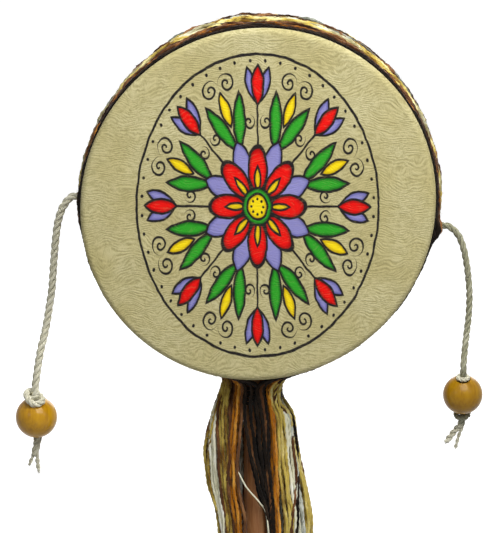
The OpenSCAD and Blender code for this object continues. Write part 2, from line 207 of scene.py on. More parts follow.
class Tubes:
    """Gathers tubes into one mesh, with a UV map along and around, and a tint for each strand."""

    def __init__(self):
        self.verts, self.faces, self.uvs, self.tints, self.count = [], [], [], [], 0

    def add(self, line, radius, sides, tint=0.5, lobes=0, depth=0.0, turn=0.0, closed=False, basis=None):
        """A tube of that radius; lobes, their depth and the turn along it shape its section."""
        n = len(line)
        t, u, v = basis if basis is not None else held_frame(line, closed)
        phi = np.arange(sides) / sides * 2 * math.pi
        radius = np.broadcast_to(np.asarray(radius, float), (n,))
        turn = np.broadcast_to(np.asarray(turn, float), (n,))
        r = radius[:, None] * (1 - depth + depth * np.cos(lobes * (phi[None, :] - turn[:, None])))
        ring = (line[:, None, :] + r[..., None] * (np.cos(phi)[None, :, None] * u[:, None, :]
                                                   + np.sin(phi)[None, :, None] * v[:, None, :]))
        self.verts.append(ring.reshape(-1, 3))
        s = lengths(np.vstack([line, line[:1]]) if closed else line)
        i = np.arange(n if closed else n - 1)
        k = np.arange(sides)
        i2, k2 = (i + 1) % n, (k + 1) % sides
        pairs = ((i, k), (i, k2), (i2, k2), (i2, k))
        corners = [self.count + p[:, None] * sides + q[None, :] for p, q in pairs]
        self.faces.extend(np.stack(corners, -1).reshape(-1, 4).tolist())
        along = np.stack([s[i], s[i], s[i + 1], s[i + 1]], -1)
        around = np.stack([k, k + 1, k + 1, k], -1) / sides
        uv = np.empty((len(i), sides, 4, 2))
        uv[..., 0] = along[:, None, :]
        uv[..., 1] = around[None, :, :] + (turn[i] / (2 * math.pi))[:, None, None]
        self.uvs.append(uv.reshape(-1, 2))
        if not closed:
            for row, order in ((0, -1), (n - 1, 1)):
                self.faces.append((self.count + row * sides + k)[::order].tolist())
                self.uvs.append(np.column_stack([np.full(sides, s[row]), k / sides]))
        self.tints.append(np.repeat(np.broadcast_to(np.asarray(tint, float), (n,)), sides))
        self.count += n * sides

    def add_hairs(self, root, way, length, tint, thick=0.034):
        """Fine bent hairs that stand off at their roots."""
        m = len(root)
        bend = unit(rng.normal(size=(m, 3)))
        side = unit(np.cross(way, bend))
        other = np.cross(way, side)
        rings = []
        for share, size in ((0, 1), (0.4, 0.85), (0.75, 0.6)):
            centre = root + way * (length * share)[:, None] + side * (length * 0.35 * share ** 2)[:, None]
            for a in (0, 2.1, 4.2):
                rings.append(centre + thick * size * (math.cos(a) * side + math.sin(a) * other))
        rings.append(root + way * length[:, None] + side * (length * 0.35)[:, None])
        self.verts.append(np.stack(rings, 1).reshape(-1, 3))
        shape = [(2, 1, 0)]
        for base in (0, 3):
            for k in range(3):
                j = (k + 1) % 3
                shape.append((base + k, base + j, base + 3 + j, base + 3 + k))
        shape += [(6, 7, 9), (7, 8, 9), (8, 6, 9)]
        starts = self.count + 10 * np.arange(m)
        for start in starts.tolist():
            self.faces.extend([[start + q for q in f] for f in shape])
        corners = sum(len(f) for f in shape)
        self.uvs.append(np.tile([[0.0, 0.0]], (m * corners, 1)))
        self.tints.append(np.repeat(tint, 10))
        self.count += 10 * m

    def piece(self, name):
        mesh = bpy.data.meshes.new(name)
        mesh.from_pydata(np.vstack(self.verts) * MM, [], self.faces)
        uv = mesh.uv_layers.new(name="strand")
        uv.data.foreach_set("uv", np.vstack(self.uvs).astype(np.float32).ravel())
        tint = mesh.attributes.new("tint", "FLOAT", "POINT")
        tint.data.foreach_set("value", np.concatenate(self.tints).astype(np.float32))
        mesh.polygons.foreach_set("use_smooth", np.ones(len(mesh.polygons), bool))
        mesh.update()
        made = bpy.data.objects.new(name, mesh)
        bpy.context.scene.collection.objects.link(made)
        return made


def rope(tubes, line, thick, lay, plies=3, sides=9, closed=False, start=0.0):
    """Plies laid round a line; the lay is the length of one full turn."""
    t, u, v = held_frame(line, closed)
    s = lengths(line)
    whole = lengths(np.vstack([line, line[:1]]))[-1] if closed else s[-1]
    turns = max(1, round(whole / lay)) if closed else whole / lay
    angle = start + s / whole * turns * 2 * math.pi
    ply = thick / 2 / (1 + 1 / math.sin(math.pi / plies)) if plies > 2 else thick / 4
    off = thick / 2 - ply
    ply *= 1.12
    for k in range(plies):
        a = angle + k * 2 * math.pi / plies
        path = line + off * (np.cos(a)[:, None] * u + np.sin(a)[:, None] * v)
        tubes.add(path, ply, sides, tint=rng.uniform(0.35, 0.65), closed=closed, turn=-a * 0.8)


# Node helpers

def new_finish(name):
    made = bpy.data.materials.new(name)
    made.use_nodes = True
    return made, Sheet(made.node_tree), made.node_tree.nodes["Principled BSDF"]


class Sheet:
    """Puts nodes on a node tree and links them."""

    def __init__(self, tree):
        self.tree = tree

    def put(self, kind, **settings):
        n = self.tree.nodes.new(kind)
        for key, value in settings.items():
            setattr(n, key, value)
        return n

    def feed(self, socket, value):
        if isinstance(value, bpy.types.NodeSocket):
            self.tree.links.new(value, socket)
        elif value is not None:
            socket.default_value = value

    def row(self, node, *values):
        """Feeds a node's sockets in their order."""
        for socket, value in zip(node.inputs, values):
            self.feed(socket, value)
        return node.outputs

    def fill(self, node, values):
        """Feeds a node's sockets by their names."""
        for key, value in values.items():
            self.feed(node.inputs[key], value)
        return node.outputs

    def math(self, op, a, b=None, c=None):
        return self.row(self.put("ShaderNodeMath", operation=op), a, b, c)[0]

    def times(self, a, b):
        return self.math("MULTIPLY", a, b)

    def plus(self, a, b):
        return self.math("ADD", a, b)

    def less(self, a, b):
        return self.math("SUBTRACT", a, b)

    def most(self, a, b):
        return self.math("MAXIMUM", a, b)

    def vector(self, op, a, b=None):
        out = self.row(self.put("ShaderNodeVectorMath", operation=op), a, b)
        return out["Value" if op in ("DISTANCE", "LENGTH") else "Vector"]

    def join(self, x, y, z=0.0):
        return self.row(self.put("ShaderNodeCombineXYZ"), x, y, z)[0]

    def split(self, vector):
        return self.row(self.put("ShaderNodeSeparateXYZ"), vector)

    def ramp(self, value, low, high, to_low=0.0, to_high=1.0):
        n = self.put("ShaderNodeMapRange", interpolation_type="SMOOTHSTEP")
        return self.row(n, value, low, high, to_low, to_high)[0]

    def mix(self, share, a, b):
        n = self.put("ShaderNodeMix", data_type="RGBA")
        self.feed(n.inputs[0], share)
        for socket, value in ((n.inputs[6], a), (n.inputs[7], b)):
            self.feed(socket, value if isinstance(value, bpy.types.NodeSocket) else (*value, 1.0))
        return n.outputs[2]

    def noise(self, vector, scale, detail=2.0, rough=0.5, distort=0.0):
        return self.fill(self.put("ShaderNodeTexNoise"), {
            "Vector": vector, "Scale": scale, "Detail": detail, "Roughness": rough, "Distortion": distort})[0]

    def place(self, vector, scale=(1, 1, 1), turn=(0, 0, 0), shift=(0, 0, 0)):
        return self.fill(self.put("ShaderNodeMapping"), {
            "Vector": vector, "Scale": scale, "Rotation": turn, "Location": shift})[0]

    def bump(self, height, strength, distance):
        return self.fill(self.put("ShaderNodeBump"), {
            "Height": height, "Strength": strength, "Distance": distance})[0]

    def place_group(self, group, **values):
        return self.fill(self.put("ShaderNodeGroup", node_tree=group), values)

    def object_place(self):
        return self.put("ShaderNodeTexCoord").outputs["Object"]


def new_group(name, takes, gives):
    group = bpy.data.node_groups.new(name, "ShaderNodeTree")
    for key, kind, value in takes:
        socket = group.interface.new_socket(name=key, in_out="INPUT", socket_type=kind)
        if value is not None:
            socket.default_value = value
    for key, kind in gives:
        group.interface.new_socket(name=key, in_out="OUTPUT", socket_type=kind)
    sheet = Sheet(group)
    return group, sheet, sheet.put("NodeGroupInput").outputs, sheet.put("NodeGroupOutput").inputs


def linear(*srgb):
    """A colour written as 0 to 255 screen values."""
    return tuple(c / 12.92 if c <= 0.04045 else ((c + 0.055) / 1.055) ** 2.4 for c in (x / 255 for x in srgb))


# Shared effects

def make_spun_fibre():
    """Fine fibres that run along a strand with its twist, from its UV map."""
    group, s, given, out = new_group(
        "spun fibre",
        [("Along", "NodeSocketFloat", 1.0), ("Around", "NodeSocketFloat", 14.0)],
        [("Height", "NodeSocketFloat"), ("Streak", "NodeSocketFloat")])
    x, y, _ = s.split(s.put("ShaderNodeUVMap", uv_map="strand").outputs[0])
    fine = s.noise(s.join(s.times(x, given["Along"]), s.times(y, given["Around"])), 1.0, 3.0, 0.6)
    slow = s.noise(s.join(s.times(x, 0.16), s.times(y, 1.5)), 1.0, 2.0)
    s.feed(out["Height"], fine)
    s.feed(out["Streak"], s.plus(s.times(fine, 0.5), s.times(slow, 0.5)))
    return group


def make_tone_drift():
    """Slow changes of tone over a surface, with some specks."""
    group, s, given, out = new_group(
        "tone drift",
        [("Size", "NodeSocketFloat", 0.02), ("Speck", "NodeSocketFloat", 0.001)],
        [("Drift", "NodeSocketFloat"), ("Specks", "NodeSocketFloat")])
    where = s.object_place()
    slow = s.noise(s.vector("DIVIDE", where, s.join(*[given["Size"]] * 3)), 1.0, 3.0, 0.55)
    fine = s.noise(s.vector("DIVIDE", where, s.join(*[given["Speck"]] * 3)), 1.0, 2.0, 0.6)
    s.feed(out["Drift"], s.ramp(slow, 0.3, 0.7))
    s.feed(out["Specks"], s.ramp(fine, 0.62, 0.75))
    return group


SPUN = make_spun_fibre()
DRIFT = make_tone_drift()


# The print on the front head: a rosette of petals, leaves, buds and curls

class Rosette:
    """Draws layers of inked shapes, in millimetres from the head's middle."""

    BLACK = linear(24, 21, 22)
    LINE = 0.42

    def __init__(self, sheet, x, z):
        self.s = sheet
        self.far = self.reach(x, z)
        self.turn = sheet.math("ARCTAN2", z, x)
        self.colour, self.mask = None, None

    def reach(self, x, z):
        return self.s.math("SQRT", self.s.plus(self.s.times(x, x), self.s.times(z, z)))

    def ring(self, radius, half):
        """A ring about the middle, that wide to each side of its radius."""
        return self.s.less(self.s.math("ABSOLUTE", self.s.less(self.far, radius)), half)

    def sector(self, count, offset=0.0, both_sides=False):
        """Coordinates in one of count equal sectors: outwards and across."""
        s = self.s
        a = s.math("WRAP", s.plus(self.turn, math.radians(offset)), math.pi / count, -math.pi / count)
        across = s.times(self.far, s.math("SINE", a))
        if both_sides:
            across = s.math("ABSOLUTE", across)
        return s.join(s.times(self.far, s.math("COSINE", a)), across)

    def disc(self, p, centre, radius):
        return self.s.less(self.s.vector("DISTANCE", p, (*centre, 0.0)), radius)

    def almond(self, p, a, b, half):
        """A pointed leaf from a to b, that wide to each side."""
        a, b = Vector(a), Vector(b)
        chord = b - a
        radius = (chord.length ** 2 / 4 + half ** 2) / (2 * half)
        normal = Vector((-chord.y, chord.x)).normalized() * (radius - half)
        middle = (a + b) / 2
        return self.s.most(self.disc(p, middle + normal, radius), self.disc(p, middle - normal, radius))

    def oval(self, p, centre, half_long, half_wide):
        s = self.s
        near = s.vector("SUBTRACT", p, (*centre, 0.0))
        near = s.vector("MULTIPLY", near, (1 / half_long, 1 / half_wide, 0.0))
        return s.times(s.less(s.vector("LENGTH", near), 1.0), half_wide)

    def curl(self, p, centre, radius, gap, way):
        """A line that winds in to its centre."""
        s = self.s
        dx, dy, _ = s.split(s.vector("SUBTRACT", p, (*centre, 0.0)))
        near = self.reach(dx, dy)
        turn = s.times(s.math("ARCTAN2", dy, dx), way / (2 * math.pi))
        phase = s.math("FRACT", s.plus(s.math("DIVIDE", near, gap), turn))
        line = s.times(s.math("ABSOLUTE", s.less(phase, 0.5)), gap)
        return s.most(s.less(line, self.LINE), s.less(near, radius))

    def cover(self, mask, colour):
        if self.mask is None:
            self.mask, self.colour = mask, self.s.mix(1.0, colour, colour)
            return
        self.colour = self.s.mix(mask, self.colour, colour)
        self.mask = self.s.most(self.mask, mask)

    def draw(self, d):
        """A shape that is ink all over."""
        self.cover(self.s.ramp(d, 0.16, -0.16), self.BLACK)

    def paint(self, d, deep, light, soft=1.6):
        """A shape with a black outline, deep at its edge and lighter within."""
        s = self.s
        self.cover(s.ramp(d, self.LINE + 0.16, self.LINE - 0.16), self.BLACK)
        within = s.mix(s.ramp(d, -0.2, -soft), deep, light)
        self.colour = s.mix(s.ramp(d, 0.14 - self.LINE, -0.14 - self.LINE), self.colour, within)


def make_rosette():
    group, s, given, out = new_group(
        "rosette print", [("Middle", "NodeSocketVector", None)],
        [("Colour", "NodeSocketColor"), ("Ink", "NodeSocketFloat")])
    where = s.vector("SUBTRACT", s.object_place(), given["Middle"])
    where = s.vector("MULTIPLY", where, (1000.0, 1000.0, 1000.0))
    x, _, z = s.split(where)
    sway = [s.times(s.less(s.noise(s.place(where, shift=shift), 0.2, 2.0), 0.5), 1.1)
            for shift in ((0, 0, 0), (40, 0, 7))]
    ink = Rosette(s, s.times(s.plus(x, sway[0]), 1.24), s.times(s.plus(z, sway[1]), 0.98))
    red = (linear(150, 8, 10), linear(232, 20, 14))
    yellow = (linear(196, 160, 12), linear(246, 218, 20))
    green = (linear(16, 84, 22), linear(48, 158, 40))
    lilac = (linear(98, 96, 158), linear(140, 137, 194))
    eight, eight_both = ink.sector(8), ink.sector(8, both_sides=True)
    between = ink.sector(8, 22.5, both_sides=True)
    one_way = ink.sector(8, 22.5)
    # A ring at the outside, with dots inside it
    ink.draw(ink.ring(51.0, 0.5))
    ink.draw(ink.disc(ink.sector(48, 3.75), (48.9, 0.0), 0.62))
    # Stems and curls
    ink.draw(s.most(s.less(s.split(eight_both)[1], ink.LINE), ink.ring(27.0, 9.0)))
    for way in (1.0, -1.0):
        ink.draw(ink.curl(one_way, (43.2, 3.6 * way), 3.5, 2.3, way))
    for way in (-1.0, 1.0):
        ink.draw(ink.curl(eight, (28.5, -3.5 * way), 2.5, 2.0, way))
    # Leaves in pairs
    ink.paint(ink.almond(between, (20.5, 0.6), (38.5, 7.4), 2.5), *green)
    ink.paint(ink.almond(between, (29.0, 0.0), (41.0, 0.0), 2.0), *yellow)
    # Buds on the stems
    ink.paint(ink.almond(eight_both, (35.0, 0.8), (46.5, 4.6), 2.1), *lilac)
    ink.paint(ink.almond(eight_both, (34.0, 0.0), (47.4, 0.0), 2.5), *red)
    # Flower at the middle
    ink.paint(ink.almond(between, (9.0, 0.0), (23.5, 0.0), 3.6), *lilac)
    ink.paint(ink.oval(eight_both, (12.6, 0.0), 7.6, 3.9), *red)
    ink.paint(ink.almond(eight_both, (5.0, 0.0), (13.5, 0.0), 1.2), *yellow)
    ink.paint(ink.disc(eight, (0.0, 0.0), 6.2), *green)
    ink.paint(ink.disc(eight, (0.0, 0.0), 4.3), *yellow)
    ink.draw(ink.disc(eight, (2.6, 0.0), 0.5))
    s.feed(out["Colour"], ink.colour)
    s.feed(out["Ink"], ink.mask)
    return group


# Finishes

def make_skin(name, printed):
    """Tan skin with fine wavy wrinkles that mostly run across, and a print on one head."""
    made, s, bsdf = new_finish(name)
    where = s.object_place()
    tone = s.place_group(DRIFT, Size=0.022, Speck=0.0011)
    warp = s.fill(s.put("ShaderNodeTexNoise"), {"Vector": where, "Scale": 55.0, "Detail": 2.0})["Color"]
    shift = s.vector("MULTIPLY", s.vector("SUBTRACT", warp, (0.5, 0.5, 0.5)), (0.016, 0.016, 0.016))
    bent = s.vector("ADD", where, shift)
    wave = s.fill(s.put("ShaderNodeTexWave", wave_type="BANDS", bands_direction="Z"), {
        "Vector": bent, "Scale": 350.0, "Distortion": 4.0, "Detail": 2.0, "Detail Scale": 1.6})["Fac"]
    wrinkles = s.times(s.less(wave, 0.5), s.ramp(s.noise(where, 300.0, 2.0), 0.32, 0.62, 0.1, 1.0))
    creases = s.noise(s.place(bent, scale=(520, 520, 1300), turn=(0, 0.25, 0)), 1.0, 3.0, 0.6)
    pores = s.noise(where, 2300.0, 2.0, 0.6)
    crease = s.plus(s.times(wrinkles, 0.32), creases)
    height = s.plus(crease, s.times(pores, 0.2))
    base = s.mix(tone["Drift"], linear(189, 178, 126), linear(202, 194, 149))
    shade = s.plus(s.times(crease, 0.6), s.times(pores, 0.4))
    base = s.mix(s.ramp(shade, 0.62, 0.34, 0.0, 0.8), base, linear(158, 148, 100))
    base = s.mix(s.times(tone["Specks"], 0.2), base, linear(216, 210, 168))
    rough = s.ramp(crease, 0.35, 0.65, 0.72, 0.6)
    if printed:
        drawn = s.place_group(make_rosette(), Middle=(0.0, 0.0, DRUM_Z * MM))
        cotton_copy = s.ramp(s.plus(crease, s.times(pores, 0.4)), 0.44, 0.66, 0.88, 1.0)
        ink = s.times(drawn["Ink"], cotton_copy)
        base = s.mix(ink, base, drawn["Colour"])
        rough = s.less(rough, s.times(ink, 0.14))
    s.fill(bsdf, {"Base Color": base, "Roughness": rough, "Normal": s.bump(height, 0.55, 0.0003),
                  "Specular IOR Level": 0.12})
    return made


def make_yarn(name, dark, mid, light, sheen, along=1.2, around=11.0):
    """Spun yarn in three tones: each strand has its own tint, with lighter and darker stretches."""
    made, s, bsdf = new_finish(name)
    fibre = s.place_group(SPUN, Along=along, Around=around)
    tint = s.put("ShaderNodeAttribute", attribute_name="tint").outputs["Fac"]
    value = s.plus(s.times(fibre["Streak"], 0.9), s.times(tint, 0.55))
    colour = s.mix(s.ramp(value, 0.36, 0.72), linear(*dark), linear(*mid))
    s.fill(bsdf, {"Base Color": s.mix(s.ramp(value, 0.72, 1.05), colour, linear(*light)),
                  "Roughness": s.ramp(fibre["Height"], 0.2, 0.8, 0.86, 0.66),
                  "Normal": s.bump(fibre["Height"], 0.5, 0.00012),
                  "Specular IOR Level": 0.06, "Sheen Weight": sheen, "Sheen Roughness": 0.5})
    return made


def make_wood(name, tones, axis_turn, fine, rough, middle, coat=0.0, gloss=0.16):
    """Wood in three tones with grain along its axis; a coat of varnish gives the gloss."""
    made, s, bsdf = new_finish(name)
    dark, mid, light = (linear(*tone) for tone in tones)
    where = s.place(s.vector("SUBTRACT", s.object_place(), middle), turn=axis_turn)
    drift = s.place_group(DRIFT, Size=0.009, Speck=0.0006)["Drift"]
    rings = s.noise(s.place(where, scale=(fine, fine, fine * 0.07)), 1.0, 4.0, 0.6, 0.6)
    pores = s.noise(s.place(where, scale=(fine * 5, fine * 5, fine * 0.25)), 1.0, 2.0, 0.6)
    grain = s.plus(s.times(rings, 0.7), s.times(pores, 0.3))
    colour = s.mix(s.ramp(grain, 0.3, 0.52), dark, mid)
    colour = s.mix(s.ramp(grain, 0.5, 0.72), colour, light)
    s.fill(bsdf, {"Base Color": s.mix(s.times(drift, 0.25), colour, mid),
                  "Roughness": s.ramp(grain, 0.3, 0.75, rough + 0.08, rough - 0.05),
                  "Normal": s.bump(pores, 0.16, 0.00008),
                  "Specular IOR Level": 0.05, "Coat Weight": coat, "Coat Roughness": gloss})
    return made


def make_steel(name):
    made, s, bsdf = new_finish(name)
    scratch = s.noise(s.place(s.object_place(), scale=(4000, 4000, 300)), 1.0, 2.0)
    s.fill(bsdf, {"Base Color": s.mix(scratch, (0.42, 0.42, 0.43), (0.62, 0.62, 0.62)),
                  "Roughness": s.ramp(scratch, 0.2, 0.8, 0.28, 0.42), "Metallic": 1.0})
    return made


# Dark, middle and light tones as screen values, and how much sheen
YARN_TONES = {
    "black": ("black yarn", (8, 6, 5), (20, 15, 11), (48, 36, 26), 0.05),
    "brown": ("brown yarn", (38, 21, 10), (88, 55, 31), (146, 102, 62), 0.12),
    "gold": ("golden yarn", (108, 72, 18), (202, 178, 84), (240, 228, 164), 0.18),
    "cream": ("cream yarn", (158, 150, 108), (234, 231, 202), (250, 249, 236), 0.25),
    "orange": ("burnt orange yarn", (62, 34, 7), (172, 104, 14), (222, 160, 64), 0.15),
    "grey": ("grey yarn", (112, 116, 104), (192, 195, 180), (232, 232, 220), 0.2),
}
YARN_FINISH = {colour: make_yarn(*tones) for colour, tones in YARN_TONES.items()}
# The right cords' cotton is the same cotton made darker: painted shade on the right side.
COTTON = {
    "left": make_yarn("twisted cotton", (134, 130, 104), (212, 208, 184), (244, 242, 228), 0.25, 2.4, 8.0),
    "right": make_yarn("cotton in painted shade", (86, 84, 64), (148, 146, 120), (200, 198, 176), 0.15, 2.4, 8.0),
}
DARK_CORD = make_yarn("dark binding cord", (7, 5, 4), (20, 15, 10), (44, 32, 20), 0.05, 2.0, 9.0)


def dress(piece, finish, body=None, stands_for=()):
    """Gives a piece its finish, the body that it rides on and the nodes that it stands for."""
    piece.data.materials.clear()
    piece.data.materials.append(finish)
    if stands_for:
        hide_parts(*stands_for)
    if body:
        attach(piece, body)
    return piece


# Cords and beads

def polar(radius, deg):
    return np.array([radius * math.cos(math.radians(deg)), radius * math.sin(math.radians(deg))])


def in_plane(p, y=0.0):
    """A point of the drum's own plane, across and up from its middle, as a place in the part's frame."""
    return np.array([p[0], y, DRUM_Z + p[1]])


def along_bore(d):
    return np.array([0.0, -d * math.sin(BEAD_LEAN), d * math.cos(BEAD_LEAN)])


BORE = Vector((0, -math.sin(BEAD_LEAN), math.cos(BEAD_LEAN)))
BEND_TOP, BEND_LOW = KNOT_OFF + 3.41, KNOT_OFF + 1.32
TAILS_Y = BEND_LOW * math.sin(BEAD_LEAN) + 0.5
FOLD_DROP = FACE_Y + BEAD_R + 0.5
MOUTH_R = 64.0
STEP = 0.3
LAY = 8.2

SIDES = {
    "left": dict(
        way=-1, deg=0.0, out=[(1.8, -0.7), (3.2, -2.3)], crook=(4.8, -5.0),
        passing=[(1.4, -5), (2.3, -12), (3, -20)], fold=3.6,
        fall=[(0.9, -6), (2.2, -14), (4.2, -23)], forward=[0, 0.25, 0.7],
        bead=(6.0, -46.5), split=14.5, thick=2.65, drift=-1.2, slide=0.3),
    "right": dict(
        way=1, deg=-8.5, out=[(2, -0.3), (4.2, -1.9)], crook=(6.0, -4.4),
        passing=[(1.7, -5), (2.9, -12), (3.6, -20)], fold=3.4,
        fall=[(-0.5, -5), (-1.1, -10)], forward=[0.15, 0.5],
        bead=(-1.7, -29.0), split=11.0, thick=2.3, drift=-0.2, slide=1.2),
}


def cord_places(way, deg, out, crook, passing, fold, fall, forward, bead, split, thick, drift, slide):
    """The route's points, as the part's source has them."""
    flip = np.array([way, 1.0])
    mouth = polar(MOUTH_R, deg)
    crook_at = mouth + crook
    fold_at = crook_at + (fold, -FOLD_DROP)
    bead_at = fold_at + bead
    hub = in_plane(bead_at * flip) + along_bore(slide)
    lean_y = along_bore(BEND_TOP)[1]
    at = dict(
        mouth=in_plane(mouth * flip), crook=in_plane(crook_at * flip), fold=in_plane(fold_at * flip),
        bead=hub, split=hub + (drift, TAILS_Y, -split), way=way, thick=thick,
        inside=in_plane(polar(SHELL_IN - 6, deg) * flip), axis=np.append(polar(1, deg) * flip, 0)[[0, 2, 1]])
    at["route"] = ([at["inside"], in_plane(polar(SHELL_R, deg) * flip), at["mouth"]]
                   + [in_plane((mouth + q) * flip) for q in out] + [at["crook"]]
                   + [in_plane((crook_at + q) * flip) for q in passing] + [at["fold"]]
                   + [in_plane((fold_at + q) * flip, lean_y * f) for q, f in zip(fall, forward)]
                   + [hub + along_bore(d) for d in (BEND_TOP, BEAD_R, 0, -BEAD_R, -BEND_LOW)] + [at["split"]])
    return at


def cut(line, first, last):
    """The stretch of a line between the points nearest to two places, and its start along the line."""
    a, b = nearest(line, first), nearest(line, last)
    return line[a:b + 1], lengths(line)[a] / LAY * 2 * math.pi


def ring_line(centre, axis, radius, tilt=0.0, tilt_to=0.0, step=STEP):
    """A closed ring about an axis, which may tilt."""
    axis = Vector(axis).normalized()
    u = (Vector((1, 0, 0)) - axis * axis.x if abs(axis.x) < 0.9 else axis.orthogonal()).normalized()
    v = axis.cross(u)
    n = int(2 * math.pi * radius / step)
    points = []
    for i in range(n):
        a = 2 * math.pi * i / n
        points.append(Vector(centre) + (u * math.cos(a) + v * math.sin(a)) * radius
                      + axis * (tilt * math.cos(a - tilt_to)))
    return np.array([list(p) for p in points])


def frayed(tubes, at, way, count, spread, length, tint=0.6):
    """Loose fibres at a cut end or a frayed knot."""
    ways = unit(np.asarray(way, float) + rng.normal(scale=spread, size=(count, 3)))
    roots = np.asarray(at, float) + rng.normal(scale=0.25, size=(count, 3))
    tubes.add_hairs(roots, ways, rng.uniform(0.5, 1.0, count) * length, np.full(count, tint), 0.05)


def make_side(name, facts):
    at = cord_places(**facts)
    line = through(at["route"], STEP)
    middle = line[nearest(line, (at["crook"] + at["fold"]) / 2)]
    drum, crook, upper, lower = "drum", name + "_crook", name + "_upper", name + "_lower"

    # The cotton's key picks the plain cotton, or the right side's copy that is darkened as painted shade.
    def tied(tubes, label, node, cotton_copy=name, body=lower):
        return dress(tubes.piece(name + label), COTTON[cotton_copy], body, [name + node])

    def stretch(label, first, last):
        tubes = Tubes()
        part, start = cut(line, first, last)
        rope(tubes, part, at["thick"], LAY, start=start)
        pick = rng.integers(0, len(part), int(len(part) * 0.9))
        ways = unit(rng.normal(size=(len(pick), 3)))
        tubes.add_hairs(part[pick] + ways * 1.05, ways, rng.uniform(0.3, 0.8, len(pick)),
                        np.full(len(pick), 0.7), 0.028)
        return tubes.piece(name + label), part

    # Out of the rim to the crook, over the crook, and from there down to the split
    exit_rope, _ = stretch("_exit_rope", at["inside"], at["crook"])
    dress(exit_rope, COTTON[name], None, [name + "_exit_cord"])
    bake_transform(exit_rope)
    upper_rope, _ = stretch("_upper_rope", at["crook"], middle)
    dress(upper_rope, COTTON[name], None, [name + "_cord_crook", name + "_cord_upper"])
    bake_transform(upper_rope)
    lower_rope, path = stretch("_lower_rope", middle, at["split"])
    dress(lower_rope, COTTON[name], None, [name + "_cord_lower"])
    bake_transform(lower_rope)

    # The bead, turned about its bore
    profile = [(BORE_R, h) for h in np.linspace(-5.0, 5.0, 5)]
    profile += arc((BORE_R + 1.6, 4.9), 1.6, 176, 100, 8)
    top = profile[-1]
    start = math.degrees(math.atan2(top[1], top[0]))
    profile += arc((0, 0), BEAD_R, start - 1.5, -start + 1.5, 44)
    profile += arc((BORE_R + 1.6, -4.9), 1.6, -100, -176, 8)
    profile.append(profile[0])
    size = 1.04 if name == "left" else 0.985
    profile = [(r * size, h * size) for r, h in profile]
    bead = turned(name + "_turned_bead", profile, at["bead"], BORE, (1, 0, 0), 72)
    dress(bead, BEAD_WOOD[name], name + "_striker", [name + "_bead"])

    # Knots above and below the bead, and the tails of the cord's end
    hub = at["bead"]
    knot = Tubes()
    if name == "left":
        turn = ring_line(hub + along_bore(7.9) + (-0.4, -0.5, 0), BORE, 2.5, 1.9, math.radians(155))
        off = turn - hub
        far = np.linalg.norm(off, axis=1)[:, None]
        rope(knot, hub + off * np.maximum(1, (BEAD_R + 1.0) / far), 2.4, 5.2, closed=True)
        turn = ring_line(hub + along_bore(9.3) + (-0.9, 0, 0), BORE, 1.6, 0.9, math.radians(20))
        rope(knot, turn, 2.0, 5.0, closed=True)
    else:
        turn = ring_line(hub + along_bore(7.0), BORE, 1.75, 0.25, math.radians(250))
        rope(knot, turn, 1.6, 4.4, closed=True)
    frayed(knot, hub + along_bore(8.6), BORE, 40, 0.9, 2.6)
    top_knot = tied(knot, "_top_tied_knot", "_top_knot", "left")
    knot = Tubes()
    ring, thick, below = (1.0, 1.3, 1.0) if name == "left" else (2.1, 2.0, 0.0)
    rope(knot, ring_line(hub + along_bore(-KNOT_OFF - below), BORE, ring, 0.3, 1.0), thick, 4.6, closed=True)
    if name == "right":
        # Darker fibres at the right end knot: painted shade under the bead.
        frayed(knot, hub + along_bore(-KNOT_OFF - 0.5), -BORE, 160, 0.8, 3.2, 0.3)
    end_knot = tied(knot, "_end_tied_knot", "_end_knot")
    tails = Tubes()
    ends = ([(-0.9, -1.9, -3.6, 1.35), (1.2, 1.4, -5.9, 1.6)] if name == "left"
            else [(-0.4, -5.2, -7.0, 2.2), (0.6, -1.9, -8.7, 1.3)])
    for first, across, down, thick in ends:
        base = at["split"] + (0.25 * np.sign(first), 0, 0.9)
        run = through([base, base + (first * 0.5, 0, -1.6),
                       at["split"] + (across * 0.5 + first * 0.25, 0, down * 0.5),
                       at["split"] + (across, 0, down)], 0.25)
        rope(tails, run, thick, 4.4, plies=2, sides=8)
        frayed(tails, run[-1], run[-1] - run[-4], 36, 0.55, 1.3)
    tails = tied(tails, "_cord_tails", "_tails", "left")

    # The knot inside the shell, which holds the cord
    knot = Tubes()
    for far in (SHELL_IN - 3.3, SHELL_IN - 1.45):
        centre = at["axis"] * far + (0, 0, DRUM_Z)
        rope(knot, ring_line(centre, at["axis"], 2.3, step=0.4), 2.1, 5.0, closed=True, sides=6)
    tied(knot, "_inner_knot", "_anchor_knot", body=drum)


def bead_finish(name):
    at = cord_places(**SIDES[name])["bead"]
    # The right bead's wood is made darker all over than the left's: painted shade on the right side.
    deep, coat, gloss = (0.92, 0.36, 0.14) if name == "left" else (0.77, 0.3, 0.24)
    tones = [[c * deep for c in tone] for tone in ((174, 118, 14), (208, 153, 20), (222, 170, 32))]
    return make_wood(name + " honey wood", tones, (BEAD_LEAN, 0, 0), 260.0, 0.36, tuple(at * MM), coat, gloss)


BEAD_WOOD = {name: bead_finish(name) for name in SIDES}
for side_name, side_facts in SIDES.items():
    make_side(side_name, side_facts)


# The real hoop isn't quite round: it is longest from lower left to upper right

def ovalised(points):
    """Moves points in or out from the drum's axis, by up to 3 percent along the long way."""
    x, z = points[:, 0], points[:, 2] - DRUM_Z
    grow = 0.9915 + 0.018 * (1 + np.cos(2 * np.arctan2(z, x) - math.radians(94)))
    return np.column_stack([x * grow, points[:, 1], DRUM_Z + z * grow])


def round_hoop(a, r, y):
    """A line round the hoop, for angles in radians, at those distances from its axis and depths."""
    return ovalised(np.column_stack([np.cos(a) * r, y, DRUM_Z + np.sin(a) * r]))


# Heads: skin over the shell's edge, with slow unevenness

